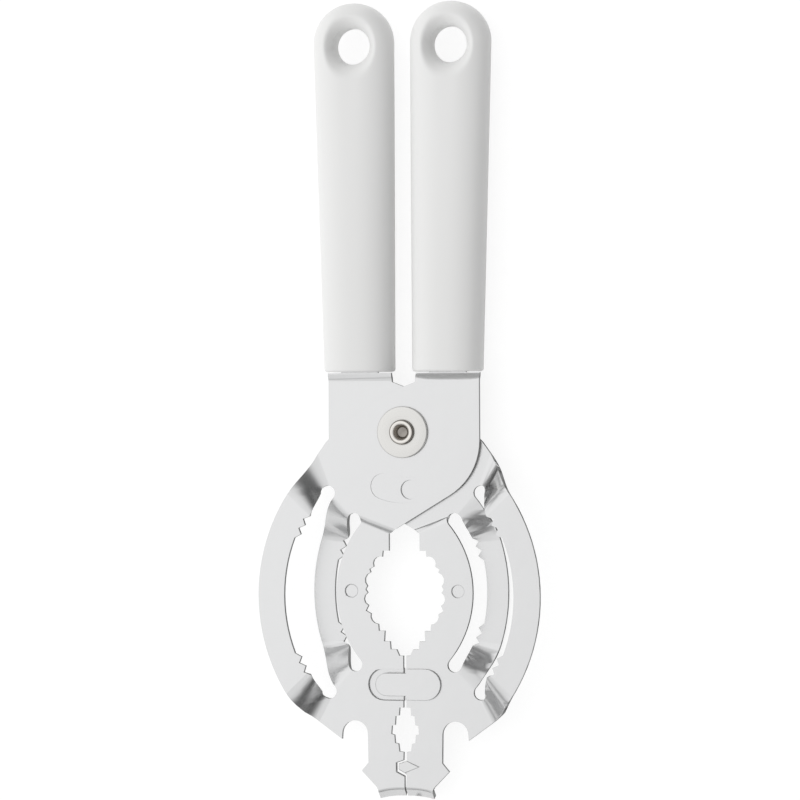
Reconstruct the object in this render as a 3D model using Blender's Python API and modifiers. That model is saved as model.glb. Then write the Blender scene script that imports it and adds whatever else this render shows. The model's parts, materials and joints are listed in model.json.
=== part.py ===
"""Jar opener: two stamped steel jaw plates crossed on a rivet, with a moulded grip on each tang.

It lies flat. Y runs from the tips (-Y) to the grips (+Y), Z is up and normal to the plates,
and the rivet's axis is X = Y = 0. The rear plate carries the left grip and the right jaw, the
front plate the right grip and the left jaw. Each plate is drawn once, with its jaw at +X.
"""

import math

import bmesh
import bpy
from mathutils import Vector

MM = 0.001

# Sheet and levels, all in millimetres. Z = 0 is the middle of the sheet in the jaws and tangs.
SHEET = 1.5
GAP = 0.3
PIVOT_LEVEL = (SHEET + GAP) / 2  # the plates step this far apart to cross at the rivet
BEND_SHARE = 0.42  # how much of a ramp's length each of its two bends takes
BAND_RISE = 7.8  # the outer bands stand this far up, and the middle bands this far down

# Plate outline.
PLATE_HALF_WIDTH = 24.7
CORNER_R = 20.0  # the round corner of the overlap, and the angle where its straight lower edge begins
CORNER_Y = -2.7
CORNER_END_DEG = 239.2
GRIP_END_Y = 19.0
SHOULDER_Y = GRIP_END_Y - GAP
TANG_INNER_X = -4.0
TANG_STEP_Y = (16.2, 18.4)
NECK_END = Vector((25.2, -3.1))  # where the neck's bulging edge meets the outer band
NECK_BULGE = 2.0
JAW_MID_Y = -50.4
OUTER_CENTRE = Vector((-12.5, -51.2))
OUTER_EDGE_R = 58.0
OUTER_EDGE_ENDS = (Vector((35.75, -18.5)), Vector((32.5, -88.1)))
OUTER_BITE_R = 49.6
OUTER_PLAIN_DEG = 18.4  # the bite has no teeth within this angle of the middle of the jaws
OUTER_TOOTH_DEG = 31.2  # the teeth start here and come one pitch apart towards the middle
MIDDLE_CENTRE = Vector((-23.8, JAW_MID_Y))
MIDDLE_EDGE_R = 55.5
MIDDLE_BITE_R = 48.7
MIDDLE_PLAIN_DEG = 8.6
MIDDLE_TOOTH_DEG = 21.4
INNER_CENTRE = Vector((-11.3, JAW_MID_Y))
INNER_EDGE_R = 33.4
OUTER_SLOT_R = 2.3
INNER_SLOT_R = 2.2
TOOTH_DEPTH = 1.5
TOOTH_PITCH_DEG = 3.8
TOOTH_BACK = 0.55  # the share of a pitch from a tooth's tip back to the bite
TEETH = 3
TIP_Y = -114.9
TIP_SIDE = [Vector(p) for p in ((12.0, -104.0), (14.2, -106.6), (9.3, -111.7))]
LIP_BEND_ENDS = (Vector((0.25, -111.5)), Vector((8.9, -112.5)))
LIP_BEND_BOW = 0.35
LIP_STEPS = ((0.3, 0.1), (0.3, 0.28), (1.8, 2.0))  # each step of the turned lip, outwards and down

# Grips.
GRIP_TOP_Y = 135.2
GRIP_FOOT_X = 14.3
GRIP_HEAD_X = 15.75
GRIP_FOOT_WIDTH = 22.4
GRIP_HEAD_WIDTH = 25.8
GRIP_THICK = 15.2
GRIP_ROUND = 6.8
FOOT_ROUND = 1.0
FOOT_SPARE = 15.0  # a grip is drawn this far past its foot and trimmed there
POCKET_SPARE = 5.0
HANG_HOLE_R = 5.7
HANG_DISH_R = 8.6
HANG_DISH_FLARE = 1.2
HANG_THROAT = (7.0, 5.0)  # radius and height halfway down the dish
HANG_NECK_HALF = 2.6
HANG_HOLE_BACK = 0.6  # the hole sits this far below the middle of the round head
TANG_TOP_Y = 92.0
TANG_HALF_WIDTH = 6.0
TANG_HOLES_Y = (42.0, 72.0)
TANG_HOLE_R = 2.5

# Pivot and stop.
SHANK_R = 3.0
SHANK_HOLE_R = 3.3
WASHER_R = 8.1
WASHER_THICK = 1.0
WASHER_CHAMFER = 0.25
LIP_R = 3.9
LIP_HOLE_R = 2.1
RIVET_HEAD_R = 5.6
STOP_PIN_R = 2.6
STOP_DISH_R = 3.1
STOP_SEAT_R = 4.1
STOP_DISH_DEPTH = 0.9
STOP_SEAT_DEPTH = 0.25
STOP_PIN_REACH = 1.2
STOP_PIN_DEG = -83.0
STOP_RADIUS = 18.2
OPEN_LIMIT_DEG = 28.0

# Hook, lap joint, nib and dimples on the jaws.
JAW_GAP = 1.0
HOOK_AT = Vector((16.3, -95.0))
HOOK_R = 4.2
HOOK_TIP = Vector((20.6, -96.7))
LAP_Y = -79.35
LAP_R = 4.9
LAP_END_X = 11.8
LAP_STEP = 0.9
TONGUE_END_X = -9.4
TONGUE_HALF = 3.6
NIB = [Vector(p) for p in ((-2.0, -104.3), (-2.0, -106.0), (0.0, -107.1), (4.6, -105.2), (0.6, -103.4))]
DIMPLE_AT = Vector((17.3, -50.0))
DIMPLE_R = 2.0
DIMPLE_DEPTH = 0.6
NIB_RISE = 0.5

# Worked out from the above.
WASHER_TOP = PIVOT_LEVEL + SHEET / 2 + GAP + WASHER_THICK
GRIP_LEAN = (GRIP_HEAD_X - GRIP_FOOT_X) / (GRIP_TOP_Y - GRIP_HEAD_WIDTH / 2 - GRIP_END_Y)
PIVOT = Vector((0, -(GRIP_TOP_Y + TIP_Y) / 2, BAND_RISE + SHEET / 2))


def arc(centre, radius, start_deg, end_deg, steps=8):
    """Points along an arc, both ends included."""
    angles = [start_deg + (end_deg - start_deg) * i / steps for i in range(steps + 1)]
    return [
        Vector((centre[0] + radius * math.cos(math.radians(a)), centre[1] + radius * math.sin(math.radians(a))))
        for a in angles
    ]


def bow(start, end, rise, steps=4):
    """Points from start to end along an arc that bulges by rise to the left of the way; start is left out."""
    start, end = Vector(start), Vector(end)
    chord = end - start
    half = chord.length / 2
    radius = (half * half + rise * rise) / (2 * rise)
    left = Vector((-chord.y, chord.x)).normalized()
    centre = (start + end) / 2 + left * (rise - radius)
    first = math.degrees(math.atan2(start.y - centre.y, start.x - centre.x))
    last = math.degrees(math.atan2(end.y - centre.y, end.x - centre.x))
    sweep = (last - first + 180) % 360 - 180
    return arc(centre, abs(radius), first, first + sweep, steps)[1:]


def direction(a, b):
    return math.degrees(math.atan2(b[1] - a[1], b[0] - a[0]))


def polar(centre, radius, angle_deg):
    angle = math.radians(angle_deg)
    return Vector((centre[0] + radius * math.cos(angle), centre[1] + radius * math.sin(angle)))


INNER_SLOT_DEG = 39.8
INNER_SLOT_AT = polar(INNER_CENTRE, INNER_EDGE_R + INNER_SLOT_R, INNER_SLOT_DEG)
OUTER_SLOT_AT = Vector((24.6, -19.1))

# Where the outer band's slot end meets its two bands, as angles round the slot's end.
SLOT_TO_OUTER_DEG = 102
SLOT_TO_MIDDLE_DEG = 196
NICK_TO_MIDDLE_DEG = 59


def mirrored(points):
    """The same points reflected about the middle of the jaws, in reverse order."""
    return [Vector((p[0], 2 * JAW_MID_Y - p[1])) for p in reversed(points)]


# The roots of the bands at their upper ends, and the line where each ramp has reached its level.
OUTER_ROOT = (Vector((27.9, -6.85)), polar(OUTER_SLOT_AT, OUTER_SLOT_R, SLOT_TO_OUTER_DEG))
MIDDLE_ROOT = (
    polar(OUTER_SLOT_AT, OUTER_SLOT_R, SLOT_TO_MIDDLE_DEG),
    polar(INNER_SLOT_AT, INNER_SLOT_R, NICK_TO_MIDDLE_DEG),
)
OUTER_TOP = (Vector((35.1, -20.1)), Vector((29.9, -25.1)))
MIDDLE_TOP = (Vector((28.8, -34.0)), Vector((20.8, -35.0)))
HOOK_SIDE = Vector((28.0, -91.35))

# The step between the pivot's level and the jaws' level crosses the root of the inner jaw.
JAW_STEP = ((Vector((3.6, -30.0)), Vector((13.6, -26.3))), (Vector((4.9, -31.9)), Vector((14.0, -28.4))))
TANG_STEP = tuple((Vector((0, y)), Vector((-1, y))) for y in TANG_STEP_Y)


def side_of(line, p):
    """Distance from a line through two points, positive to the left of the way from first to second."""
    along = (line[1] - line[0]).normalized()
    to = Vector((p[0], p[1])) - line[0]
    return along.x * to.y - along.y * to.x


def turned(start, end):
    """A ramp's two lines, with its end to the left of its start."""
    if side_of(start, (end[0] + end[1]) / 2) > 0:
        return start, end
    return (start[1], start[0]), (end[1], end[0])


OUTER_RAMPS = (
    turned(OUTER_ROOT, OUTER_TOP),
    turned((mirrored(OUTER_ROOT)[0], HOOK_SIDE), mirrored(OUTER_TOP)),
)
MIDDLE_RAMPS = (turned(MIDDLE_ROOT, MIDDLE_TOP), turned(mirrored(MIDDLE_ROOT), mirrored(MIDDLE_TOP)))
JAW_RAMP = turned(*JAW_STEP)
TANG_RAMP = turned(*TANG_STEP)


def bent(t):
    """A ramp's rise: straight in the middle, with a rounded bend at each end."""
    slope = 1 / (1 - BEND_SHARE)
    if t > 0.5:
        return 1 - bent(1 - t)
    return slope * t * t / (2 * BEND_SHARE) if t < BEND_SHARE else slope * (t - BEND_SHARE / 2)


def share(ramp, p):
    """0 before a ramp's start line, 1 past its end line, and the rise of the fan between them."""
    past_start, past_end = side_of(ramp[0], p), side_of(ramp[1], p)
    if past_start <= 0:
        return 0.0
    if past_end >= 0:
        return 1.0
    t = past_start / (past_start - past_end)
    return bent(t)


def fan_lines(ramp, steps):
    """The lines between a ramp's start and its end where the sheet has points to bend at."""
    ends = zip(ramp[0], ramp[1])
    first, second = [[a.lerp(b, i / steps) for i in range(steps + 1)] for a, b in ends]
    return list(zip(first, second))


def body_level(p, pivot_level):
    beside_slot = p[0] > INNER_SLOT_AT.x and p[1] > INNER_SLOT_AT.y
    to_jaw = 0.0 if beside_slot else share(JAW_RAMP, p)
    return pivot_level * (1 - to_jaw) * (1 - share(TANG_RAMP, p))


def band_level(p, pivot_level, ramps, rise):
    if p[1] > JAW_MID_Y:
        reach = share(ramps[0], p)
        return pivot_level * (1 - reach) + rise * reach
    return rise * share(ramps[1], p)


def grip_edge():
    """The inner jaw's edge, from the foot of its neck down to the gap: steps, and round bites between teeth."""
    edge = [Vector(p) for p in ((5.0, -31.9), (5.0, -37.3), (7.0, -37.3), (7.2, -39.2))]
    for tooth, bite_end, depth in (
        ((), (10.2, -41.2), 0.9),
        (((10.0, -42.3), (11.4, -43.1), (11.0, -44.1)), (12.1, -48.4), 1.3),
        (((12.7, -49.5), (12.0, -50.5)), (11.8, -54.5), 1.3),
        (((12.6, -56.2), (11.0, -57.1)), (8.6, -60.4), 1.0),
    ):
        edge += [Vector(p) for p in tooth]
        edge += bow(edge[-1], bite_end, depth)
    for x, y in ((8.4, -62.5), (6.7, -65.8), (4.6, -68.3), (1.8, -70.3)):
        edge += [Vector((x, y)), Vector((x - 1.9 if x > 2 else JAW_GAP / 2, y))]
    return edge


def cap_edge():
    """The small stepped opening near the tip, from the gap above it to the gap below it."""
    half = JAW_GAP / 2
    steps = (
        *((half, -86.6), (1.8, -86.6), (2.0, -89.1), (3.1, -89.3), (3.3, -92.1), (4.3, -92.3)),
        *((4.5, -94.9), (3.5, -95.2), (3.3, -97.7), (2.2, -98.0), (1.9, -100.4), (half, -100.6)),
    )
    return [Vector(p) for p in steps]


def lip_bend():
    """The bend line of the lid-lifting lip, from the gap outwards."""
    start, end = LIP_BEND_ENDS
    return [start] + bow(start, end, LIP_BEND_BOW, 5)


def tang_outline(clear=0.0):
    """The strip of the tang that runs inside its grip, from the shoulder and back to it."""
    half, corner = TANG_HALF_WIDTH + clear, 3.0 + clear
    foot, top = GRIP_FOOT_X, GRIP_FOOT_X + GRIP_LEAN * (TANG_TOP_Y - GRIP_END_Y)
    high = TANG_TOP_Y + clear - corner
    points = [Vector((-foot - half, SHOULDER_Y))]
    points += arc((-top - half + corner, high), corner, 180, 90, 4)
    points += arc((-top + half - corner, high), corner, 90, 0, 4)
    return points + [Vector((-foot + half, SHOULDER_Y))]


def body_outline(front):
    """The plate without its bands and lip, clockwise from the shoulder under its grip."""
    slot = arc(OUTER_SLOT_AT, OUTER_SLOT_R, SLOT_TO_OUTER_DEG, SLOT_TO_MIDDLE_DEG, 5)
    nick = arc(INNER_SLOT_AT, INNER_SLOT_R, NICK_TO_MIDDLE_DEG, 180 + INNER_SLOT_DEG, 8)
    shoulder = [Vector((TANG_INNER_X, SHOULDER_Y)), Vector((TANG_INNER_X, TANG_STEP_Y[0] - 0.4))]
    points = tang_outline() + shoulder
    points += bow(points[-1], NECK_END, NECK_BULGE, 8) + [OUTER_ROOT[0]] + slot + nick
    points += arc(INNER_CENTRE, INNER_EDGE_R, INNER_SLOT_DEG, -INNER_SLOT_DEG, 24)[1:-1]
    points += mirrored(nick) + mirrored(slot) + [HOOK_SIDE, HOOK_TIP]
    points += arc(HOOK_AT, HOOK_R, 0, 180, 12)
    points += TIP_SIDE + list(reversed(lip_bend()))
    if front:
        points += [Vector(p) for p in ((0.25, -108.1), (2.9, -106.8), (2.9, -104.0), (0.6, -103.2))]
    else:
        points += [Vector(p) for p in ((0.5, -107.6), (-2.1, -106.1), (-2.1, -104.2), (0.6, -103.2))]
    points += list(reversed(cap_edge())) + list(reversed(grip_edge()))
    points += arc((CORNER_R - PLATE_HALF_WIDTH, CORNER_Y), CORNER_R, CORNER_END_DEG, 180, 10)
    return points + [Vector((-PLATE_HALF_WIDTH, SHOULDER_Y))]


def saw(centre, radius, first_deg, turn):
    """Teeth that stand inwards from a bite arc, one pitch apart, the way that turn (1 or -1) says."""
    points = []
    for i in range(TEETH):
        tip = first_deg + turn * TOOTH_PITCH_DEG * i
        points += [polar(centre, radius - TOOTH_DEPTH, tip)]
        points += [polar(centre, radius, tip + turn * TOOTH_PITCH_DEG * TOOTH_BACK)]
    return points


def toothed_bite(centre, radius, plain_deg, tooth_deg):
    """A band's inner edge, from its lower end up: teeth, a plain stretch, and the same teeth mirrored."""
    points = saw(centre, radius, -tooth_deg, 1) + arc(centre, radius, -plain_deg, plain_deg, 12)
    return points + list(reversed(saw(centre, radius, tooth_deg, -1)))


def outer_band_outline():
    """The outer band, clockwise: its root, its outer edge, its lower root, and its toothed inner edge."""
    slot = arc(OUTER_SLOT_AT, OUTER_SLOT_R, -12, SLOT_TO_OUTER_DEG, 6)
    edge_degs = [direction(OUTER_CENTRE, end) for end in OUTER_EDGE_ENDS]
    edge = arc(OUTER_CENTRE, OUTER_EDGE_R, *edge_degs, 26)
    bite = toothed_bite(OUTER_CENTRE, OUTER_BITE_R, OUTER_PLAIN_DEG, OUTER_TOOTH_DEG)
    return [OUTER_ROOT[0]] + edge + [HOOK_SIDE] + mirrored(slot) + bite + slot


def middle_band_outline():
    """The middle band, drawn the same way round."""
    edge_deg = direction(MIDDLE_CENTRE, OUTER_SLOT_AT)
    slot = arc(OUTER_SLOT_AT, OUTER_SLOT_R, SLOT_TO_MIDDLE_DEG, 180 + edge_deg, 2)
    nick = arc(INNER_SLOT_AT, INNER_SLOT_R, direction(MIDDLE_CENTRE, INNER_SLOT_AT), NICK_TO_MIDDLE_DEG, 3)
    edge = arc(MIDDLE_CENTRE, MIDDLE_EDGE_R, edge_deg - 2, 2 - edge_deg, 26)
    bite = toothed_bite(MIDDLE_CENTRE, MIDDLE_BITE_R, MIDDLE_PLAIN_DEG, MIDDLE_TOOTH_DEG)
    return slot + edge + mirrored(slot) + mirrored(nick) + bite + nick


def outline_mesh(outlines, thickness=0.0):
    """A mesh of closed outlines, filled, and with a thickness a slab that is centred on Z = 0."""
    curve = bpy.data.curves.new("outline", "CURVE")
    curve.dimensions = "2D"
    curve.fill_mode = "BOTH"
    curve.extrude = thickness / 2
    for outline in outlines:
        spline = curve.splines.new("POLY")
        spline.points.add(len(outline) - 1)
        for target, p in zip(spline.points, outline):
            target.co = (p[0], p[1], 0, 1)
        spline.use_cyclic_u = True
    guide = bpy.data.objects.new("outline", curve)
    bpy.context.scene.collection.objects.link(guide)
    bpy.context.view_layer.update()
    mesh = bpy.data.meshes.new_from_object(guide.evaluated_get(bpy.context.evaluated_depsgraph_get()))
    bpy.data.objects.remove(guide)
    bpy.data.curves.remove(curve)
    bm = bmesh.new()
    bm.from_mesh(mesh)
    bpy.data.meshes.remove(mesh)
    bmesh.ops.remove_doubles(bm, verts=bm.verts, dist=0.001)
    return bm


def cut_along(bm, line, faces=None):
    """Adds the points where the line crosses the flat sheet."""
    along = line[1] - line[0]
    chosen = bm.faces[:] if faces is None else faces
    edges = {e for f in chosen for e in f.edges}
    verts = {v for f in chosen for v in f.verts}
    bmesh.ops.bisect_plane(
        bm,
        geom=list(verts) + list(edges) + chosen,
        plane_co=(line[0].x, line[0].y, 0),
        plane_no=(-along.y, along.x, 0),
        dist=0.0001,
    )


def body_sheet(front, pivot_level):
    bm = outline_mesh([body_outline(front)])
    for line in fan_lines(TANG_RAMP, 5):
        cut_along(bm, line)
    cut_along(bm, (INNER_SLOT_AT, INNER_SLOT_AT + Vector((0, 1))))
    for line in fan_lines(JAW_RAMP, 5):
        inside = [f for f in bm.faces if f.calc_center_median().x < INNER_SLOT_AT.x]
        cut_along(bm, line, inside)
    for v in bm.verts:
        v.co.z = body_level(v.co, pivot_level)
    return bm


def band_sheet(outline, ramps, rise, pivot_level):
    bm = outline_mesh([outline])
    for ramp in ramps:
        for line in fan_lines(ramp, 12)[1:]:
            cut_along(bm, line)
    for v in bm.verts:
        v.co.z = band_level(v.co, pivot_level, ramps, rise)
    return bm


def near_any(co, points):
    return any((co.xy - p).length < 0.01 for p in points)


def turn_lip(bm):
    """Draws the lip out from its bend line in short steps, each steeper than the last."""
    bend = lip_bend()
    edges = [e for e in bm.edges if e.is_boundary and all(near_any(v.co, bend) for v in e.verts)]
    for out, down in LIP_STEPS:
        grown = bmesh.ops.extrude_edge_only(bm, edges=edges)["geom"]
        edges = [g for g in grown if isinstance(g, bmesh.types.BMEdge)]
        moved = [g for g in grown if isinstance(g, bmesh.types.BMVert)]
        bmesh.ops.translate(bm, verts=moved, vec=(0, -out, -down))


def sheet_mesh(name, front):
    """One plate's bent sheet, an open surface through the middle of its thickness, centred on the rivet."""
    pivot_level = PIVOT_LEVEL if front else -PIVOT_LEVEL
    sheets = (
        body_sheet(front, pivot_level),
        band_sheet(outer_band_outline(), OUTER_RAMPS, BAND_RISE, pivot_level),
        band_sheet(middle_band_outline(), MIDDLE_RAMPS, -BAND_RISE, pivot_level),
    )
    whole = bmesh.new()
    for bm in sheets:
        piece = bpy.data.meshes.new("piece")
        bm.to_mesh(piece)
        bm.free()
        whole.from_mesh(piece)
        bpy.data.meshes.remove(piece)
    bmesh.ops.remove_doubles(whole, verts=whole.verts, dist=0.02)
    turn_lip(whole)
    side = -1 if front else 1
    for v in whole.verts:
        v.co = Vector((v.co.x * side, v.co.y, v.co.z)) * MM
    bmesh.ops.recalc_face_normals(whole, faces=whole.faces)
    mesh = bpy.data.meshes.new(name)
    whole.to_mesh(mesh)
    whole.free()
    return mesh


def new_collection(name):
    collection = bpy.data.collections.new(name)
    bpy.context.scene.collection.children.link(collection)
    return collection


def material(name, colour, roughness, metallic):
    mat = bpy.data.materials.new(name)
    mat.use_nodes = True
    shader = mat.node_tree.nodes["Principled BSDF"]
    shader.inputs["Base Color"].default_value = (*colour, 1.0)
    shader.inputs["Roughness"].default_value = roughness
    shader.inputs["Metallic"].default_value = metallic
    mat.diffuse_color = (*colour, 1.0)
    return mat


def add(name, mesh, collection, mat=None):
    """A named object whose origin is on the rivet's axis, in the middle of the jaws' sheet."""
    obj = bpy.data.objects.new(name, mesh)
    obj.location = PIVOT * MM
    collection.objects.link(obj)
    if mat:
        mesh.materials.append(mat)
        mesh.shade_smooth()
        mesh.set_sharp_from_angle(angle=math.radians(28))
    return obj


def face_out(bm):
    """Turns a closed shell's faces outwards, and takes it from millimetres to metres."""
    bmesh.ops.recalc_face_normals(bm, faces=bm.faces)
    if bm.calc_volume(signed=True) < 0:
        bmesh.ops.reverse_faces(bm, faces=bm.faces)
    bmesh.ops.scale(bm, vec=(MM, MM, MM), verts=bm.verts)


def slab(name, outlines, z_low, z_high, collection, mat=None, side=1):
    """A closed slab between two heights. Its outlines are drawn for a jaw at +X, and side -1 mirrors them."""
    bm = outline_mesh(outlines, z_high - z_low)
    for v in bm.verts:
        v.co = Vector((v.co.x * side, v.co.y, v.co.z + (z_low + z_high) / 2))
    face_out(bm)
    mesh = bpy.data.meshes.new(name)
    bm.to_mesh(mesh)
    bm.free()
    return add(name, mesh, collection, mat)


def circle(centre, radius, steps=32):
    return arc(centre, radius, 0, 360, steps)[:-1]


def bent_obround(radius_to_pivot, first_deg, last_deg, half_width, steps=12):
    """A slot's outline round the pivot, with last_deg clockwise of first_deg."""
    outer = arc((0, 0), radius_to_pivot + half_width, first_deg, last_deg, steps)
    inner = arc((0, 0), radius_to_pivot - half_width, last_deg, first_deg, steps)
    last, first = polar((0, 0), radius_to_pivot, last_deg), polar((0, 0), radius_to_pivot, first_deg)
    last_end = arc(last, half_width, last_deg, last_deg - 180, 10)[1:-1]
    first_end = arc(first, half_width, first_deg + 180, first_deg, 10)[1:-1]
    return outer + last_end + inner + first_end


def combine(obj, tool, operation):
    step = obj.modifiers.new(tool.name, "BOOLEAN")
    step.operation = operation
    step.solver = "EXACT"
    step.object = tool
    tool.hide_render = True
    tool.display_type = "WIRE"


def add_turned(name, profile, collection, mat, steps=40):
    """A round piece from its profile of (radius, height) points, turned about its own Z."""
    bm = bmesh.new()
    verts = [bm.verts.new((r * MM, 0, z * MM)) for r, z in profile]
    on_axis = profile[0][0] == 0
    for a, b in zip(verts, verts[1:] if on_axis else verts[1:] + verts[:1]):
        bm.edges.new((a, b))
    mesh = bpy.data.meshes.new(name)
    bm.to_mesh(mesh)
    bm.free()
    obj = add(name, mesh, collection, mat)
    screw = obj.modifiers.new("turn", "SCREW")
    screw.steps = screw.render_steps = steps
    screw.use_merge_vertices = True
    screw.merge_threshold = 0.00001
    return obj


def add_plate(name, front, parts, cutters, mat):
    """A jaw plate: its bent sheet given a thickness, then pierced, half-pierced and coined."""
    plate = add(name, sheet_mesh(name, front), parts, mat)
    thicken = plate.modifiers.new("sheet", "SOLIDIFY")
    thicken.thickness = SHEET * MM
    thicken.offset = 0
    thicken.use_even_offset = True
    thicken.use_quality_normals = True
    side = -1 if front else 1
    level = PIVOT_LEVEL if front else -PIVOT_LEVEL
    top, bottom, over = SHEET / 2, -SHEET / 2, 2.0

    def tool(label, outline, z_low, z_high, operation, tool_side=side):
        combine(plate, slab(f"{name}_{label}", [outline], z_low, z_high, cutters, side=tool_side), operation)

    tool("rivet_hole", circle((0, 0), SHANK_HOLE_R), level - over, level + over, "DIFFERENCE")
    tool("dimple_back", circle(DIMPLE_AT, DIMPLE_R - 0.3, 20), bottom - DIMPLE_DEPTH, -0.2, "UNION")
    tool("dimple", circle(DIMPLE_AT, DIMPLE_R, 20), top - DIMPLE_DEPTH, top + over, "DIFFERENCE")
    tang_mid = -GRIP_FOOT_X
    for i, y in enumerate(TANG_HOLES_Y):
        at = (tang_mid - GRIP_LEAN * (y - GRIP_END_Y), y)
        tool(f"tang_hole_{i}", circle(at, TANG_HOLE_R, 20), -over, over, "DIFFERENCE")
    pin_at = polar((0, 0), STOP_RADIUS, STOP_PIN_DEG)
    if front:
        run = bent_obround(STOP_RADIUS, STOP_PIN_DEG, STOP_PIN_DEG - OPEN_LIMIT_DEG, STOP_SEAT_R)
        tool("stop_seat", run, level + top - STOP_SEAT_DEPTH, level + over, "DIFFERENCE", 1)
        dish, pin = circle(pin_at, STOP_DISH_R, 24), circle(pin_at, STOP_PIN_R, 24)
        tool("stop_dish", dish, level + top - STOP_DISH_DEPTH, level + over, "DIFFERENCE", 1)
        tool("stop_pin", pin, level + bottom - STOP_PIN_REACH, level - GAP, "UNION", 1)
        tool("lap_recess", lap_outline(LAP_R, -over), top - LAP_STEP - 0.2, top + over, "DIFFERENCE")
        floor = lap_outline(LAP_R + 0.3, JAW_GAP / 2)
        tool("lap_floor", floor, bottom - LAP_STEP, top - LAP_STEP, "UNION")
    else:
        run = bent_obround(STOP_RADIUS, STOP_PIN_DEG, STOP_PIN_DEG - OPEN_LIMIT_DEG, STOP_PIN_R + GAP)
        tool("stop_slot", run, level - over, level + over, "DIFFERENCE")
        hollow = lap_outline(LAP_R - 0.3, -over)
        tool("lap_hollow", hollow, bottom - over, bottom + LAP_STEP + 0.2, "DIFFERENCE")
        tool("lap_tongue", tongue_outline(), bottom + LAP_STEP, top + LAP_STEP, "UNION")
        tool("nib", NIB, 0, top + NIB_RISE, "UNION")
    return plate


def lap_outline(radius, edge_x):
    """A D-shape on the jaw, round at its outer end and ending at edge_x."""
    end = arc((LAP_END_X - LAP_R, LAP_Y), radius, -90, 90, 12)
    return end + [Vector((edge_x, LAP_Y + radius)), Vector((edge_x, LAP_Y - radius))]


def tongue_outline():
    """The raised D-shape with its tongue, which crosses the gap onto the other jaw."""
    edge = JAW_GAP / 2
    tongue = arc((TONGUE_END_X + TONGUE_HALF, LAP_Y), TONGUE_HALF, 90, 270, 12)
    above, below = Vector((edge, LAP_Y + TONGUE_HALF)), Vector((edge, LAP_Y - TONGUE_HALF))
    jaw_side = lap_outline(LAP_R, edge)
    return jaw_side[:-1] + [above] + tongue + [below] + jaw_side[-1:]


def grip_outline(below):
    """A grip seen from above: a round head, and sides that run in to its foot and on below it."""
    head_r, foot = GRIP_HEAD_WIDTH / 2, GRIP_FOOT_WIDTH / 2
    head = Vector((GRIP_HEAD_X, GRIP_TOP_Y - head_r))
    taper = math.degrees(math.atan((head_r - foot) / (head.y - GRIP_END_Y)))
    narrow, shift = below * math.tan(math.radians(taper)), below * GRIP_LEAN
    foot_x, foot_y, half = GRIP_FOOT_X - shift, GRIP_END_Y - below, foot - narrow
    points = arc(head, head_r, -taper, 180 + taper, 32)
    return points + [Vector((foot_x - half, foot_y)), Vector((foot_x + half, foot_y))]


def add_grip(name, side, parts, cutters, mat):
    """A moulded grip, drawn at +X: rounded all round, with a flared hang hole and the tang's pocket."""
    bm = outline_mesh([grip_outline(FOOT_SPARE)], GRIP_THICK)
    rims = [e for e in bm.edges if len(e.link_faces) == 2 and e.calc_face_angle(0) > math.radians(60)]
    rims = [e for e in rims if abs(e.verts[0].co.z - e.verts[1].co.z) < 0.01]
    long_rims = [e for e in rims if max(v.co.y for v in e.verts) > GRIP_END_Y - FOOT_SPARE + 1]
    bmesh.ops.bevel(bm, geom=long_rims, offset=GRIP_ROUND, segments=6, profile=0.5, affect="EDGES")
    everything = bm.verts[:] + bm.edges[:] + bm.faces[:]
    foot = (0, GRIP_END_Y, 0)
    bmesh.ops.bisect_plane(bm, geom=everything, plane_co=foot, plane_no=(0, -1, 0), clear_outer=True, dist=0.001)
    rim = [e for e in bm.edges if e.is_boundary]
    end = bmesh.ops.contextual_create(bm, geom=rim)["faces"]
    bmesh.ops.bevel(bm, geom=list(end[0].edges), offset=FOOT_ROUND, segments=2, profile=0.5, affect="EDGES")
    for v in bm.verts:
        v.co.x *= side
    bmesh.ops.triangulate(bm, faces=[f for f in bm.faces if len(f.verts) > 4])
    face_out(bm)
    mesh = bpy.data.meshes.new(name)
    bm.to_mesh(mesh)
    bm.free()
    grip = add(name, mesh, parts, mat)

    posts = []
    for y in TANG_HOLES_Y:
        at = (-GRIP_FOOT_X - GRIP_LEAN * (y - GRIP_END_Y), y)
        posts.append(list(reversed(circle(at, TANG_HOLE_R - GAP, 20))))
    pocket = tang_outline(GAP)
    pocket[0].y = pocket[-1].y = GRIP_END_Y - POCKET_SPARE
    half = SHEET / 2 + GAP
    combine(grip, slab(f"{name}_pocket", [pocket] + posts, -half, half, cutters, side=-side), "DIFFERENCE")
    top = GRIP_THICK / 2 + 1.4
    rim = [(0, top), (HANG_DISH_R + HANG_DISH_FLARE, top), (HANG_DISH_R, GRIP_THICK / 2 - GAP)]
    dish = rim + [HANG_THROAT, (HANG_HOLE_R, HANG_NECK_HALF)]
    profile = dish + [(r, -z) for r, z in reversed(dish)]
    hang = add_turned(f"{name}_hang_hole", profile, cutters, None, 36)
    hang.location += Vector((side * GRIP_HEAD_X, GRIP_TOP_Y - GRIP_HEAD_WIDTH / 2 - HANG_HOLE_BACK, 0)) * MM
    combine(grip, hang, "DIFFERENCE")
    return grip


def rivet_profile():
    """Down from the hollow end's floor round the rolled lip, down the shank and round the back head."""
    lip, head = WASHER_TOP + GAP, -PIVOT_LEVEL - SHEET / 2 - GAP
    return (
        *((0, lip - 2.2), (1.3, lip - 1.7), (LIP_HOLE_R, lip - 0.9), (LIP_HOLE_R, lip + 0.6), (2.5, lip + 1.0)),
        *((3.1, lip + 1.1), (3.6, lip + 0.9), (LIP_R, lip + 0.45), (3.7, lip), (SHANK_R, lip)),
        *((SHANK_R, head), (RIVET_HEAD_R, head), (RIVET_HEAD_R, head - 0.4), (4.9, head - 0.95)),
        *((3.4, head - 1.25), (0, head - 1.35)),
    )


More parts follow.
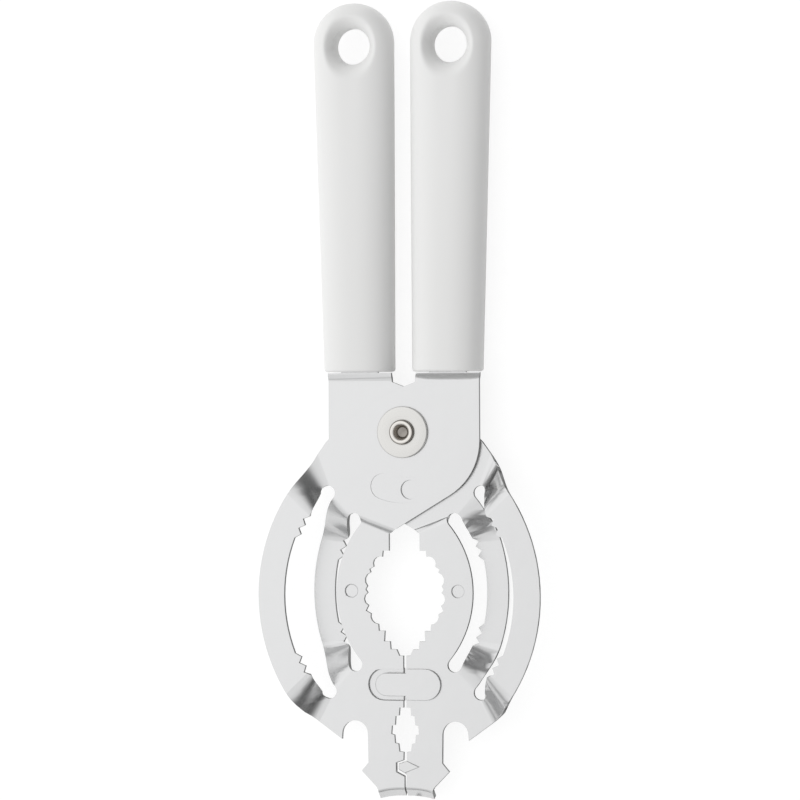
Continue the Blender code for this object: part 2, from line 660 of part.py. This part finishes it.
def main():
    for old in list(bpy.data.objects):
        bpy.data.objects.remove(old, do_unlink=True)
    parts, cutters = new_collection("jar_opener"), new_collection("cutters")
    steel_front = material("front_plate_steel", (0.72, 0.73, 0.73), 0.38, 1.0)
    steel_rear = material("rear_plate_steel", (0.70, 0.71, 0.71), 0.38, 1.0)
    left_plastic = material("left_grip_plastic", (0.80, 0.80, 0.79), 0.45, 0.0)
    right_plastic = material("right_grip_plastic", (0.79, 0.79, 0.78), 0.45, 0.0)
    nickel = material("rivet_nickel", (0.50, 0.46, 0.42), 0.3, 1.0)
    bright = material("washer_steel", (0.74, 0.73, 0.71), 0.3, 1.0)

    axis = bpy.data.objects.new("jaw_pivot", None)
    axis.location = PIVOT * MM
    parts.objects.link(axis)
    moving = [
        add_plate("front_jaw_plate", True, parts, cutters, steel_front),
        add_grip("right_grip", 1, parts, cutters, right_plastic),
    ]
    add_plate("rear_jaw_plate", False, parts, cutters, steel_rear)
    add_grip("left_grip", -1, parts, cutters, left_plastic)
    add_turned("pivot_rivet", rivet_profile(), parts, nickel)
    bore, low, chamfer = SHANK_R + GAP, WASHER_TOP - WASHER_THICK, WASHER_TOP - WASHER_CHAMFER
    rim = ((WASHER_R - WASHER_CHAMFER, WASHER_TOP), (WASHER_R, chamfer), (WASHER_R, low))
    add_turned("rivet_washer", ((bore, WASHER_TOP), *rim, (bore, low)), parts, bright)
    for piece in moving:
        piece.parent = axis
        piece.location = (0, 0, 0)


main()
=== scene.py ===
import json
import math
import bpy
import bmesh
from mathutils import Matrix, Vector


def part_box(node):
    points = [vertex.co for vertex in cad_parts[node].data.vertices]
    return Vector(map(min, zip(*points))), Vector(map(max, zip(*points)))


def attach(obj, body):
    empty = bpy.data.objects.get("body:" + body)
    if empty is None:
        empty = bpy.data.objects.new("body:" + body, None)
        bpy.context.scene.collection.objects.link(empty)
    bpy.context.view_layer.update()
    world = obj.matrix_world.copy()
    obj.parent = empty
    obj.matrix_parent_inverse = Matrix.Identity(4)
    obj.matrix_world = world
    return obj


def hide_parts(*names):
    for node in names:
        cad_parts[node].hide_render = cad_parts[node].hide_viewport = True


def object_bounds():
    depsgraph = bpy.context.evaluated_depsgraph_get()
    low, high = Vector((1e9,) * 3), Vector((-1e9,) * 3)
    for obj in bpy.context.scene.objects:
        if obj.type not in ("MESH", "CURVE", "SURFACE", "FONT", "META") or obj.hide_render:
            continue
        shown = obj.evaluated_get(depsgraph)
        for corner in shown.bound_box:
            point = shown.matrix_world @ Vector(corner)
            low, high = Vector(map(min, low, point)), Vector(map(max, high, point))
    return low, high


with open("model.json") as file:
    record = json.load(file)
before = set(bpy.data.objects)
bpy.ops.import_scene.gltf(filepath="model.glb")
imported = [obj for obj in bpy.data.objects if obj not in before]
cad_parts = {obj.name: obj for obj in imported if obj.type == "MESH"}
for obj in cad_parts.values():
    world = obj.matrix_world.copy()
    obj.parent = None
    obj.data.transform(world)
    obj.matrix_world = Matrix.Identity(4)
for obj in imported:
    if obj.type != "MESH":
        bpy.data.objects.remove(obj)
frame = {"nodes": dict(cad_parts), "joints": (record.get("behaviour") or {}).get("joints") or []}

mm = 0.001
weld = 0.001 * mm  # points closer than this are one point
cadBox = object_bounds()
pivot = Vector(frame["joints"][0]["pos_m"])  # the rivet's axis, at the level of the jaws
print("frame loaded, pivot at", [round(c / mm, 2) for c in pivot], "mm")


def deselectAll():
    if bpy.context.object and bpy.context.object.mode != "OBJECT":
        bpy.ops.object.mode_set(mode="OBJECT")
    bpy.ops.object.select_all(action="DESELECT")


def only(piece):
    deselectAll()
    piece.select_set(True)
    bpy.context.view_layer.objects.active = piece


def named(name):
    piece = bpy.context.object
    piece.name = piece.data.name = name
    return piece


def settle(piece):
    only(piece)
    bpy.ops.object.transform_apply(location=True, rotation=True, scale=True)


def applyModifiers(piece):
    only(piece)
    for modifier in list(piece.modifiers):
        bpy.ops.object.modifier_apply(modifier=modifier.name)


# in edit mode, selects the faces or edges that pass the test
def pick(piece, test, kind="FACE"):
    bpy.ops.mesh.select_mode(type=kind)
    bpy.ops.mesh.select_all(action="DESELECT")
    bm = bmesh.from_edit_mesh(piece.data)
    for element in (bm.faces if kind == "FACE" else bm.edges):
        if test(element):
            element.select_set(True)
    bm.select_flush_mode()
    bmesh.update_edit_mesh(piece.data)


def smooth(piece, degrees=40):
    only(piece)
    bpy.ops.object.shade_smooth_by_angle(angle=math.radians(degrees))


def cut(piece, cutter):
    step = piece.modifiers.new("cut", "BOOLEAN")
    step.operation = "DIFFERENCE"
    step.solver = "EXACT"
    step.object = cutter
    applyModifiers(piece)
    bpy.data.objects.remove(cutter)


# a skin drawn out ring by ring: each station is a ring's centre and its half sizes,
# and a power above 2 makes the rings squarer than an ellipse
def drawOut(name, stations, vertices, turn=(0, 0, 0), fill="NGON", power=2.0):
    centre, size = stations[0]
    deselectAll()
    bpy.ops.mesh.primitive_circle_add(vertices=vertices, radius=1, fill_type=fill,
                                      location=centre, rotation=turn)
    piece = named(name)
    for vertex in piece.data.vertices:
        vertex.co = [math.copysign(abs(c) ** (2 / power), c) for c in vertex.co]
    piece.scale = size if turn == (0, 0, 0) else (size[0], size[2], size[1])
    settle(piece)
    bpy.ops.object.mode_set(mode="EDIT")
    bpy.ops.mesh.select_all(action="SELECT")
    for nextCentre, nextSize in stations[1:]:
        shift = Vector(nextCentre) - Vector(centre)
        grow = [b / a if a else 1 for a, b in zip(size, nextSize)]
        bpy.ops.mesh.extrude_region_move(TRANSFORM_OT_translate={"value": shift})
        bpy.ops.transform.resize(value=grow, center_override=nextCentre)
        centre, size = nextCentre, nextSize
    bpy.ops.mesh.select_all(action="SELECT")
    bpy.ops.mesh.remove_doubles(threshold=weld)
    bpy.ops.mesh.normals_make_consistent(inside=False)
    bpy.ops.object.mode_set(mode="OBJECT")
    return piece


# one output socket of a shader: arithmetic on it adds Math nodes
class Wire:
    def __init__(self, shader, socket):
        self.shader, self.socket = shader, socket

    def maths(self, operation, first, second):
        return self.shader.node("ShaderNodeMath", {"operation": operation}, {0: first, 1: second})

    def __add__(self, other):
        return self.maths("ADD", self, other)

    def __radd__(self, other):
        return self.maths("ADD", other, self)

    def __mul__(self, other):
        return self.maths("MULTIPLY", self, other)

    def __rmul__(self, other):
        return self.maths("MULTIPLY", other, self)


# a material's node tree, or the world's, and short ways to add nodes to it
class Shader:
    def __init__(self, name, tree=None):
        if tree is None:
            self.material = bpy.data.materials.new(name)
            self.material.use_nodes = True
            tree = self.material.node_tree
            self.surface = tree.nodes["Principled BSDF"]
        self.tree = tree

    def node(self, kind, settings=None, sockets=None, out=0):
        made = self.tree.nodes.new(kind)
        for key, value in (settings or {}).items():
            if key == "stops":
                self.setStops(made.color_ramp, value)
            else:
                setattr(made, key, value)
        for key, value in (sockets or {}).items():
            self.feed(made.inputs[key], value)
        return Wire(self, made.outputs[out])

    def setStops(self, ramp, stops):
        while len(ramp.elements) < len(stops):
            ramp.elements.new(0.5)
        for element, (at, grey) in zip(ramp.elements, stops):
            element.position = at
            element.color = (*grey, 1) if isinstance(grey, tuple) else (grey, grey, grey, 1)

    def feed(self, socket, value):
        if isinstance(value, Wire):
            self.tree.links.new(value.socket, socket)
        else:
            socket.default_value = value

    def set(self, **values):
        for key, value in values.items():
            self.feed(self.surface.inputs[key.replace("_", " ")], value)

    def place(self, scale=(1, 1, 1), move=(0, 0, 0)):
        here = self.node("ShaderNodeTexCoord", out="Object")
        return self.node("ShaderNodeMapping", None, {"Vector": here, "Location": move, "Scale": scale})

    # how far a point is from the rivet's axis
    def fromAxis(self):
        here = self.place((1, 1, 0), (-pivot.x, -pivot.y, 0))
        return self.node("ShaderNodeVectorMath", {"operation": "LENGTH"}, {0: here}, out="Value")

    def noise(self, at, scale, detail=3):
        sockets = {"Vector": at, "Scale": scale, "Detail": detail}
        return self.node("ShaderNodeTexNoise", None, sockets)

    # sockets 6 and 7 and output 2 are the colour ones
    def mix(self, amount, first, second):
        sockets = {"Factor": amount, 6: first, 7: second}
        return self.node("ShaderNodeMix", {"data_type": "RGBA"}, sockets, out=2)

    def tint(self, amount, dark, light):
        return self.mix(amount, (*dark, 1), (*light, 1))

    def ramp(self, value, stops):
        return self.node("ShaderNodeValToRGB", {"stops": stops}, {"Fac": value})

    def bump(self, height, strength):
        sockets = {"Height": height, "Strength": strength, "Distance": 0.1 * mm}
        return self.node("ShaderNodeBump", None, sockets)


cameraSetup = {
    "lens": 200,
    "frameWidth": 251.6 * mm,
    "tilt": 15.0,  # degrees from straight above, towards +X
    "roll": -0.29,
    "aim": (-1.3 * mm, 10.1 * mm, 0),  # from the pivot
    "clip": (0.01, 50),
}


def makeCamera(setup):
    camera = bpy.data.objects.new("camera", bpy.data.cameras.new("camera"))
    bpy.context.scene.collection.objects.link(camera)
    camera.data.lens = setup["lens"]
    camera.data.clip_start, camera.data.clip_end = setup["clip"]
    tilt = Matrix.Rotation(math.radians(setup["tilt"]), 4, "Y")
    roll = Matrix.Rotation(math.radians(setup["roll"]), 4, "Z")
    aim = Matrix.Translation(pivot + Vector(setup["aim"]))
    distance = setup["frameWidth"] * setup["lens"] / camera.data.sensor_width
    camera.matrix_world = aim @ tilt @ roll @ Matrix.Translation((0, 0, distance))
    bpy.context.scene.camera = camera


studio = {
    "floorSize": 6.0,
    "floorAt": -0.2 * mm,
    "floorDark": (0.93, 0.93, 0.93),
    "floorLight": (0.95, 0.95, 0.95),
    "floorGrain": 40,
    "floorRough": 0.8,
    "floorShine": 0.1,
    "floorGlow": 0.10,
    "backdrop": 1.1,  # how bright the room is behind everything
    "backdropShare": 0.72,  # how much of that the floor shows to the camera
    "glossShare": 0.4,  # and how much of it polished steel mirrors
    "roomStrength": 1.0,
    # brightness against height for gloss: from the horizon at 0.5 to the zenith at 1
    "darkSide": ((0.0, 0.10), (0.64, 0.10), (0.74, 0.34), (0.84, 0.80), (0.92, 1.0), (1.0, 1.0)),
    "lightSide": ((0.0, 0.95), (0.58, 0.90), (0.64, 0.40), (0.69, 0.40), (0.77, 0.90), (1.0, 1.0)),
    # from left to right: none to all of the dark side
    "sides": ((0.0, 0.0), (0.44, 0.0), (0.57, 1.0), (1.0, 1.0)),
    # brightness from left to right for matt surfaces
    "across": ((0.0, 1.05), (0.55, 1.05), (0.75, 0.60), (0.88, 0.06), (1.0, 0.04)),
    "keyPower": 2.0,
    "keySize": 1.7,
    "keyAt": (-0.9, 0.4, 1.3),
}


# a pale floor that looks brighter, to the camera and in the steel, than the light it gives
def makeFloor(setup):
    deselectAll()
    bpy.ops.mesh.primitive_plane_add(size=setup["floorSize"], location=(0, 0, setup["floorAt"]))
    floor = named("floor")
    settle(floor)
    paint = Shader("floorPaint")
    grain = paint.noise(paint.place(), setup["floorGrain"])
    paint.set(Base_Color=paint.tint(grain, setup["floorDark"], setup["floorLight"]))
    paint.set(Roughness=setup["floorRough"], Specular_IOR_Level=setup["floorShine"])
    paint.set(Emission_Color=(1, 1, 1, 1), Emission_Strength=setup["floorGlow"])
    glow = paint.node("ShaderNodeEmission", None, {"Strength": setup["backdrop"]})
    seen = paint.node("ShaderNodeLightPath", out="Is Camera Ray")
    gloss = paint.node("ShaderNodeLightPath", out="Is Glossy Ray")
    share = seen * setup["backdropShare"] + gloss * setup["glossShare"]
    both = {0: share, 1: Wire(paint, paint.surface.outputs[0]), 2: glow}
    output = paint.tree.nodes["Material Output"]
    paint.feed(output.inputs["Surface"], paint.node("ShaderNodeMixShader", None, both))
    floor.data.materials.append(paint.material)


# gloss sees a bright ceiling over a dark horizon on the right, matt surfaces a broad light from the left
def makeRoom(setup):
    world = bpy.data.worlds.new("studio")
    world.use_nodes = True
    bpy.context.scene.world = world
    sky = Shader("studio", world.node_tree)
    direction = sky.node("ShaderNodeTexCoord", out="Generated")
    split = {"Vector": direction}
    up = sky.node("ShaderNodeSeparateXYZ", None, split, out="Z")
    across = sky.node("ShaderNodeSeparateXYZ", None, split, out="X")
    height, side = up * 0.5 + 0.5, across * 0.5 + 0.5
    dark = sky.ramp(height, setup["darkSide"])
    light = sky.ramp(height, setup["lightSide"])
    ceiling = sky.mix(sky.ramp(side, setup["sides"]), light, dark)
    broad = sky.ramp(side, setup["across"])
    gloss = sky.node("ShaderNodeLightPath", out="Is Glossy Ray")
    seen = sky.node("ShaderNodeLightPath", out="Is Camera Ray")
    lit = sky.mix(gloss, broad, ceiling)
    shade = sky.mix(seen, lit, (setup["backdrop"],) * 3 + (1,))
    background = world.node_tree.nodes["Background"]
    sky.feed(background.inputs["Color"], shade)
    background.inputs["Strength"].default_value = setup["roomStrength"]
    world.cycles.sampling_method = "NONE"
    bpy.context.scene.view_settings.view_transform = "Standard"


def makeKeyLight(setup):
    bpy.ops.object.light_add(type="AREA", location=setup["keyAt"])
    key = bpy.context.object
    key.name = "keyLight"
    key.data.size = setup["keySize"]
    key.data.energy = setup["keyPower"]
    key.rotation_euler = (pivot - key.location).to_track_quat("-Z", "Y").to_euler()


makeCamera(cameraSetup)
makeFloor(studio)
makeRoom(studio)
makeKeyLight(studio)
print("camera and studio made")


steel = {
    "dark": (0.655, 0.657, 0.66),
    "light": (0.695, 0.697, 0.70),
    "smooth": 0.22,
    "duller": 0.06,  # how much rougher the roughest spots are
    "mottle": 420,
    "grain": (3000, 260, 3000),
    "ripple": 70,
    "rippleShare": 3,
    "grainShare": 0.08,
    "bump": 0.25,
}


# rolled sheet, stamped and tumbled: a fine rolling grain along Y under a soft mottle
def tumbledSteel():
    sheet = Shader("tumbledSteel")
    mottle = sheet.noise(sheet.place(), steel["mottle"], 5)
    grain = sheet.noise(sheet.place(steel["grain"]), 1, 3)
    ripple = sheet.noise(sheet.place(), steel["ripple"], 2)
    wear = mottle * 0.5 + grain * 0.5
    relief = ripple * steel["rippleShare"] + grain * steel["grainShare"]
    sheet.set(Base_Color=sheet.tint(wear, steel["dark"], steel["light"]))
    sheet.set(Roughness=steel["smooth"] + steel["duller"] * wear)
    sheet.set(Metallic=1.0, Normal=sheet.bump(relief, steel["bump"]))
    return sheet.material


shear = {
    "dark": (0.16, 0.16, 0.16),
    "light": (0.32, 0.32, 0.315),
    "scores": (2200, 2200, 300),
    "smooth": 0.36,
    "duller": 0.2,
    "bump": 0.3,
}


# the cut edge of the sheet, scored by the die through its thickness and darker than its faces: the
# scoring and roughness are real, and the dark colour is partly painted shade, standing in for the shade
# on walls that face away from the light
def shearedEdgeAndShade():
    edge = Shader("shearedEdgeAndShade")
    scores = edge.noise(edge.place(shear["scores"]), 1, 3)
    # painted shade in part: a dark base colour on every cut wall
    edge.set(Base_Color=edge.tint(scores, shear["dark"], shear["light"]))
    edge.set(Roughness=shear["smooth"] + shear["duller"] * scores)
    edge.set(Metallic=1.0, Normal=edge.bump(scores, shear["bump"]))
    return edge.material


white = {
    "dark": (0.82, 0.82, 0.812),
    "light": (0.86, 0.86, 0.855),
    "flow": (30, 9, 30),
    "spark": 2400,
    "smooth": 0.40,
    "duller": 0.10,
    "bump": 0.12,
}


# white moulded plastic with the fine matt texture of its mould
def mouldedPlastic():
    plastic = Shader("mouldedPlastic")
    spark = plastic.noise(plastic.place(), white["spark"], 2)
    flow = plastic.noise(plastic.place(white["flow"]), 1, 2)
    plastic.set(Base_Color=plastic.tint(flow, white["dark"], white["light"]))
    plastic.set(Roughness=white["smooth"] + white["duller"] * spark)
    plastic.set(Normal=plastic.bump(spark, white["bump"]))
    return plastic.material


lathe = {
    "dark": (0.645, 0.638, 0.62),
    "light": (0.70, 0.692, 0.675),
    "rings": 5200,
    "smooth": 0.22,
    "duller": 0.12,
    "bump": 0.08,
}


# fine rings round the rivet
def turnedSteel():
    ring = Shader("turnedSteel")
    waves = {"W": ring.fromAxis(), "Scale": lathe["rings"], "Detail": 2}
    lines = ring.node("ShaderNodeTexNoise", {"noise_dimensions": "1D"}, waves)
    ring.set(Base_Color=ring.tint(lines, lathe["dark"], lathe["light"]))
    ring.set(Roughness=lathe["smooth"] + lathe["duller"] * lines)
    ring.set(Metallic=1.0, Normal=ring.bump(lines, lathe["bump"]))
    return ring.material


plating = {
    "paintedShade": (0.26, 0.24, 0.22),
    "bright": (0.78, 0.755, 0.72),
    "stain": (0.60, 0.57, 0.53, 1),
    "stainShare": 0.3,
    "crown": (0.46, 0.53, 0.85, 0.92),  # the soft edges of the ring left in full nickel colour, between the painted shade in the hollow and down the sides, as shares of the reach
    "reach": 4 * mm,
    "smear": (900, 900, 300),
    "smooth": 0.16,
    "duller": 0.10,
    "bump": 0.06,
}


# warm nickel plate in its full colour on the crown of its lip, with painted shade darkening it in the
# hollow and down the sides
def platedNickel():
    nickel = Shader("platedNickel")
    smear = nickel.noise(nickel.place(plating["smear"]), 1, 3)
    paintedShade, bright = plating["paintedShade"], plating["bright"]
    stops = zip((0.0, *plating["crown"], 1.0), (paintedShade, paintedShade, bright, bright, paintedShade, paintedShade))
    # painted shade: the colour falls to a dark grey inside the hollow and outside the crown of the lip
    paintedShadeByReach = nickel.ramp(nickel.fromAxis() * (1 / plating["reach"]), tuple(stops))
    nickel.set(Base_Color=nickel.mix(smear * plating["stainShare"], paintedShadeByReach, plating["stain"]))
    nickel.set(Roughness=plating["smooth"] + plating["duller"] * smear)
    nickel.set(Metallic=1.0, Normal=nickel.bump(smear, plating["bump"]))
    return nickel.material


finishes = {
    "sheet": tumbledSteel(),
    "edge": shearedEdgeAndShade(),
    "plastic": mouldedPlastic(),
    "washer": turnedSteel(),
    "nickel": platedNickel(),
}
print("finishes mixed")

plates = {
    "breakEdge": 0.12 * mm,
    "flatness": 0.4,  # faces that turn less than this, in degrees, become one
    "bendAngle": 32,  # a fold sharper than this is an edge and not a bend
    "edgeSlope": 0.25,  # a face whose normal rises less than this is a cut edge
    "level": 0.9999,  # how upright a face's normal is on the flat of the sheet
    "pressRound": 0.36 * mm,
    "pressAngle": 45,
    "pressLow": -0.65 * mm,  # rims between these heights are on the jaws' front
    "pressHigh": 3 * mm,
    "lapUp": 35.55 * mm,  # the lap joint's middle line, up from the tips
    "lapHalf": (12.4 * mm, 5.3 * mm),
    "dimpleAt": (17.3 * mm, -50.0 * mm),  # from the rivet, on each side
    "dimpleR": 2.3 * mm,
    "nibUp": 9.7 * mm,
    "nibHalf": (5.2 * mm, 2.2 * mm),
}


def isAround(at, up, half):
    tip = cadBox[0][1] - pivot.y
    return abs(at.x) < half[0] and abs(at.y - tip - up) < half[1]


# the shapes pressed into the jaws have rounder rims than the cut outline
def isPressed(edge):
    if len(edge.link_faces) != 2 or not edge.is_convex:
        return False
    if edge.calc_face_angle(0) < math.radians(plates["pressAngle"]):
        return False
    at = (edge.verts[0].co + edge.verts[1].co) / 2 - pivot
    if not plates["pressLow"] <= at.z <= plates["pressHigh"]:
        return False
    aside = math.hypot(abs(at.x) - plates["dimpleAt"][0], at.y - plates["dimpleAt"][1])
    inLap = isAround(at, plates["lapUp"], plates["lapHalf"])
    return inLap or isAround(at, plates["nibUp"], plates["nibHalf"]) or aside < plates["dimpleR"]


# where the flat of the sheet ends, so that the flat is shaded as truly flat
def endsFlat(edge):
    upright = sorted(abs(face.normal.z) for face in edge.link_faces)
    return len(upright) == 2 and upright[0] < plates["level"] < upright[1]


# the stamped plate with its edges broken by tumbling and its cut edges left rougher
def finishPlate(node, name, body):
    only(frame["nodes"][node])
    bpy.ops.object.duplicate()
    plate = named(name)
    for key in list(plate.keys()):
        del plate[key]
    plate.parent = None
    plate.data.materials.clear()
    bpy.ops.object.mode_set(mode="EDIT")
    bpy.ops.mesh.select_all(action="SELECT")
    bpy.ops.mesh.remove_doubles(threshold=2 * weld)
    bpy.ops.mesh.dissolve_limited(angle_limit=math.radians(plates["flatness"]))
    pick(plate, isPressed, "EDGE")
    bpy.ops.mesh.bevel(offset=plates["pressRound"], segments=3, affect="EDGES", clamp_overlap=True)
    bpy.ops.object.mode_set(mode="OBJECT")
    bevel = plate.modifiers.new("brokenEdge", "BEVEL")
    bevel.width = plates["breakEdge"]
    bevel.segments = 2
    bevel.limit_method = "ANGLE"
    bevel.angle_limit = math.radians(plates["bendAngle"])
    applyModifiers(plate)
    plate.data.materials.append(finishes["sheet"])
    plate.data.materials.append(finishes["edge"])
    for face in plate.data.polygons:
        face.material_index = 1 if abs(face.normal.z) < plates["edgeSlope"] else 0
    smooth(plate, plates["bendAngle"])
    bpy.ops.object.mode_set(mode="EDIT")
    pick(plate, endsFlat, "EDGE")
    bpy.ops.mesh.mark_sharp()
    bpy.ops.object.mode_set(mode="OBJECT")
    plate.modifiers.new("flatFaces", "WEIGHTED_NORMAL").keep_sharp = True
    applyModifiers(plate)
    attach(plate, body)
    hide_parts(node)
    print(name, len(plate.data.polygons), "faces")


finishPlate("front_jaw_plate", "frontPlate", "front")
finishPlate("rear_jaw_plate", "rearPlate", "rear")

grip = {
    "vertices": 144,
    "fullness": 2.5,  # 2 is a plain ellipse in section, and more is squarer
    "straightRings": 6,
    "dishRings": 26,  # along the straight sides, where the dish reaches
    "headRings": 34,
    "footWidth": 22.4 * mm,
    "footX": 14.3 * mm,
    "footRound": 0.9 * mm,
    "footFlat": 0.1 * mm,  # edges lower than this are the foot's rim
    "headThick": 13.6 * mm,
    "thinFrom": 0.3,  # the share of the way to the head where the grip starts to thin
    "lastTurn": 89,  # degrees, short of the pole so that the last ring keeps a size
    "lastPast": 0.9999,
    "holeR": 5.64 * mm,  # at the waist of the hang hole
    "throatR": 6.05 * mm,
    "dishR": 9.4 * mm,
    "dishSpare": 2 * mm,  # the close rings start this far below the dish
    "dishFloor": 0.2 * mm,  # where the flare ends, inside the head's face
    "throatSoft": 0.15 * mm,
    "rimSoft": 0.7 * mm,
    "softReach": 3 * mm,  # how far past the dish its soft rim may press
    "waistSteps": 8,
    "drillHalf": 10 * mm,
    "drillVertices": 96,
    "holeBack": 0.8 * mm,  # the hole's centre, below the head's centre
}


# rings from the foot to the tip: straight sides that widen a little, then a round head
def gripStations(low, high, side):
    headR, thick = (high.x - low.x) / 2, (high.z - low.z) / 2
    headX, headY = abs(high.x + low.x) / 2, high.y - headR
    dishY = headY - grip["dishR"] - grip["dishSpare"]
    steps = [low.y + (dishY - low.y) * i / grip["straightRings"] for i in range(grip["straightRings"])]
    steps += [dishY + (headY - dishY) * i / grip["dishRings"] for i in range(grip["dishRings"] + 1)]
    rings = []
    for y in steps:
        t = (y - low.y) / (headY - low.y)
        x = grip["footX"] * (1 - t) + headX * t
        half = grip["footWidth"] / 2 * (1 - t) + headR * t
        thinning = max(0.0, (t - grip["thinFrom"]) / (1 - grip["thinFrom"])) ** 2
        deep = thick + (grip["headThick"] / 2 - thick) * thinning
        rings.append(((side * x, y, pivot.z), (half, 1, deep)))
    deep = grip["headThick"] / 2
    for i in range(1, grip["headRings"] + 1):
        turn = math.radians(grip["lastTurn"] * i / grip["headRings"])
        y = headY + headR * math.sin(turn)
        past = min(grip["lastPast"], max(0.0, (y - (high.y - deep)) / deep))
        size = (headR * math.cos(turn), 1, deep * math.sqrt(1 - past ** 2))
        rings.append(((side * headX, y, pivot.z), size))
    return rings


# the hang hole flares from a waist: how far above the middle the flare is, at this reach from the axis
def flareHeight(reach):
    run = (reach - grip["holeR"]) / (grip["dishR"] - grip["holeR"])
    return (grip["headThick"] / 2 - grip["dishFloor"]) * max(0.0, run) ** (1 / 3)


# presses the flare into both faces of the head, soft at its rim
def dishIn(piece, centre):
    soft = grip["rimSoft"]
    for vertex in piece.data.vertices:
        reach = (vertex.co - centre).to_2d().length
        if reach > grip["dishR"] + grip["softReach"]:
            continue
        up = vertex.co.z - centre.z
        floor = flareHeight(max(reach, grip["throatR"] - grip["throatSoft"]))
        over = (abs(up) - floor) / soft
        if over > -1:
            lowered = floor if over > 1 else abs(up) - soft * (over + 1) ** 2 / 4
            vertex.co.z = centre.z + math.copysign(lowered, up)


# bores the waist: round in profile, out to the throat where the dish begins
def boreHole(piece, centre):
    span, steps = flareHeight(grip["throatR"]), grip["waistSteps"]
    profile = [(grip["throatR"], -grip["drillHalf"])]
    for i in range(-steps, steps + 1):
        share = abs(i) / steps
        profile.append((grip["holeR"] + (grip["throatR"] - grip["holeR"]) * share ** 3, span * i / steps))
    profile.append((grip["throatR"], grip["drillHalf"]))
    rings = [((centre.x, centre.y, centre.z + z), (r, r, 1)) for r, z in profile]
    cut(piece, drawOut("drill", rings, grip["drillVertices"]))


def makeGrip(node, name, side, body):
    low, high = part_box(node)
    upright = (math.radians(90), 0, 0)
    rings = gripStations(low, high, side)
    piece = drawOut(name, rings, grip["vertices"], upright, power=grip["fullness"])
    holeY = high.y - (high.x - low.x) / 2 - grip["holeBack"]
    hole = Vector(((low.x + high.x) / 2, holeY, pivot.z))
    dishIn(piece, hole)
    only(piece)
    bpy.ops.object.mode_set(mode="EDIT")
    pick(piece, lambda edge: max(v.co.y for v in edge.verts) < low.y + grip["footFlat"], "EDGE")
    bpy.ops.mesh.bevel(offset=grip["footRound"], segments=4, affect="EDGES")
    bpy.ops.object.mode_set(mode="OBJECT")
    boreHole(piece, hole)
    piece.data.materials.clear()
    piece.data.materials.append(finishes["plastic"])
    smooth(piece)
    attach(piece, body)
    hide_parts(node)
    print(name, len(piece.data.polygons), "faces")


makeGrip("left_grip", "leftGrip", -1, "rear")
makeGrip("right_grip", "rightGrip", 1, "front")

rivet = {
    "vertices": 96,
    "shankR": 3.0 * mm,
    "headR": 5.6 * mm,
    "headThick": 1.35 * mm,
    "headEdge": 0.2 * mm,
    "domeShare": 0.7,  # of the head's thickness
    "lipR": 3.9 * mm,
    "lipHigh": 1.1 * mm,
    "lipUnder": 0.3 * mm,  # the lip's flat underside stops this far inside its edge
    "lipMiddle": 0.45 * mm,  # the height of the lip's widest ring, above its seat
    "hollowR": 2.3 * mm,
    "hollowFloorR": 1.5 * mm,
    "hollowDeep": 2.6 * mm,
    "hollowStart": 0.2 * mm,  # above the lip's seat
    "floorRound": (0.15 * mm, 0.1 * mm),
    "floorCone": 0.4 * mm,
}
washer = {"vertices": 128, "boreR": 3.3 * mm, "edgeRound": 0.3 * mm}


# an arc of a profile, from one angle to another
def roundCorner(centre, size, start, end, steps=6):
    corner = []
    for i in range(steps + 1):
        turn = math.radians(start + (end - start) * i / steps)
        corner.append((centre[0] + size[0] * math.cos(turn), centre[1] + size[1] * math.sin(turn)))
    return corner


def turnedPiece(name, profile, vertices, fill, node, body, finish):
    rings = [((pivot.x, pivot.y, z), (r, r, 1)) for r, z in profile]
    piece = drawOut(name, rings, vertices, fill=fill)
    piece.data.materials.clear()
    piece.data.materials.append(finishes[finish])
    smooth(piece)
    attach(piece, body)
    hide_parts(node)
    print(name, len(piece.data.polygons), "faces")


# a tubular rivet: a domed head behind, and in front its end rolled over into a lip round a hollow
def rivetProfile():
    low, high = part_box("pivot_rivet")
    headR, thick, edge = rivet["headR"], rivet["headThick"], rivet["headEdge"]
    dome = []
    for degrees in range(3, 90, 9):
        turn = math.radians(degrees)
        dome.append((headR * math.sin(turn), low.z + thick * rivet["domeShare"] * (1 - math.cos(turn))))
    head = dome + roundCorner((headR - edge, low.z + thick - edge), (edge, edge), 0, 90, 3)
    seat = high.z - rivet["lipHigh"]
    shankR, lipR, hollowR = rivet["shankR"], rivet["lipR"], rivet["hollowR"]
    shank = [(shankR, low.z + thick), (shankR, seat), (lipR - rivet["lipUnder"], seat)]
    crown, middle = (lipR + hollowR) / 2, seat + rivet["lipMiddle"]
    rise = rivet["lipHigh"] - rivet["lipMiddle"]
    outside = roundCorner((crown, middle), (lipR - crown, rise), -20, 90, 10)
    inside = roundCorner((crown, middle), (hollowR - crown, rise), 90, 0, 8)[1:]
    deep, floorR = high.z - rivet["hollowDeep"], rivet["hollowFloorR"]
    wide, tall = rivet["floorRound"]
    wall = [(hollowR, seat + rivet["hollowStart"]), (floorR + wide, deep + tall), (floorR, deep)]
    inwards = (0.8, 0.6, 0.4, 0.2, 0.02)
    cone = [(floorR * share, deep - rivet["floorCone"] * (1 - share)) for share in inwards]
    return head + shank + outside + inside + wall + cone


def washerProfile():
    low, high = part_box("rivet_washer")
    bore, edge, rim = washer["boreR"], washer["edgeRound"], (high.x - low.x) / 2
    bottom = roundCorner((rim - edge, low.z + edge), (edge, edge), -90, 0)
    top = roundCorner((rim - edge, high.z - edge), (edge, edge), 0, 90)
    inner = roundCorner((bore + edge, high.z - edge), (edge, edge), 90, 180)
    return [(bore, low.z)] + bottom + top + inner + [(bore, low.z)]


turnedPiece("pivotRivet", rivetProfile(), rivet["vertices"], "NGON",
            "pivot_rivet", "rear", "nickel")
turnedPiece("rivetWasher", washerProfile(), washer["vertices"], "NOTHING",
            "rivet_washer", "rear", "washer")
print("all pieces made")
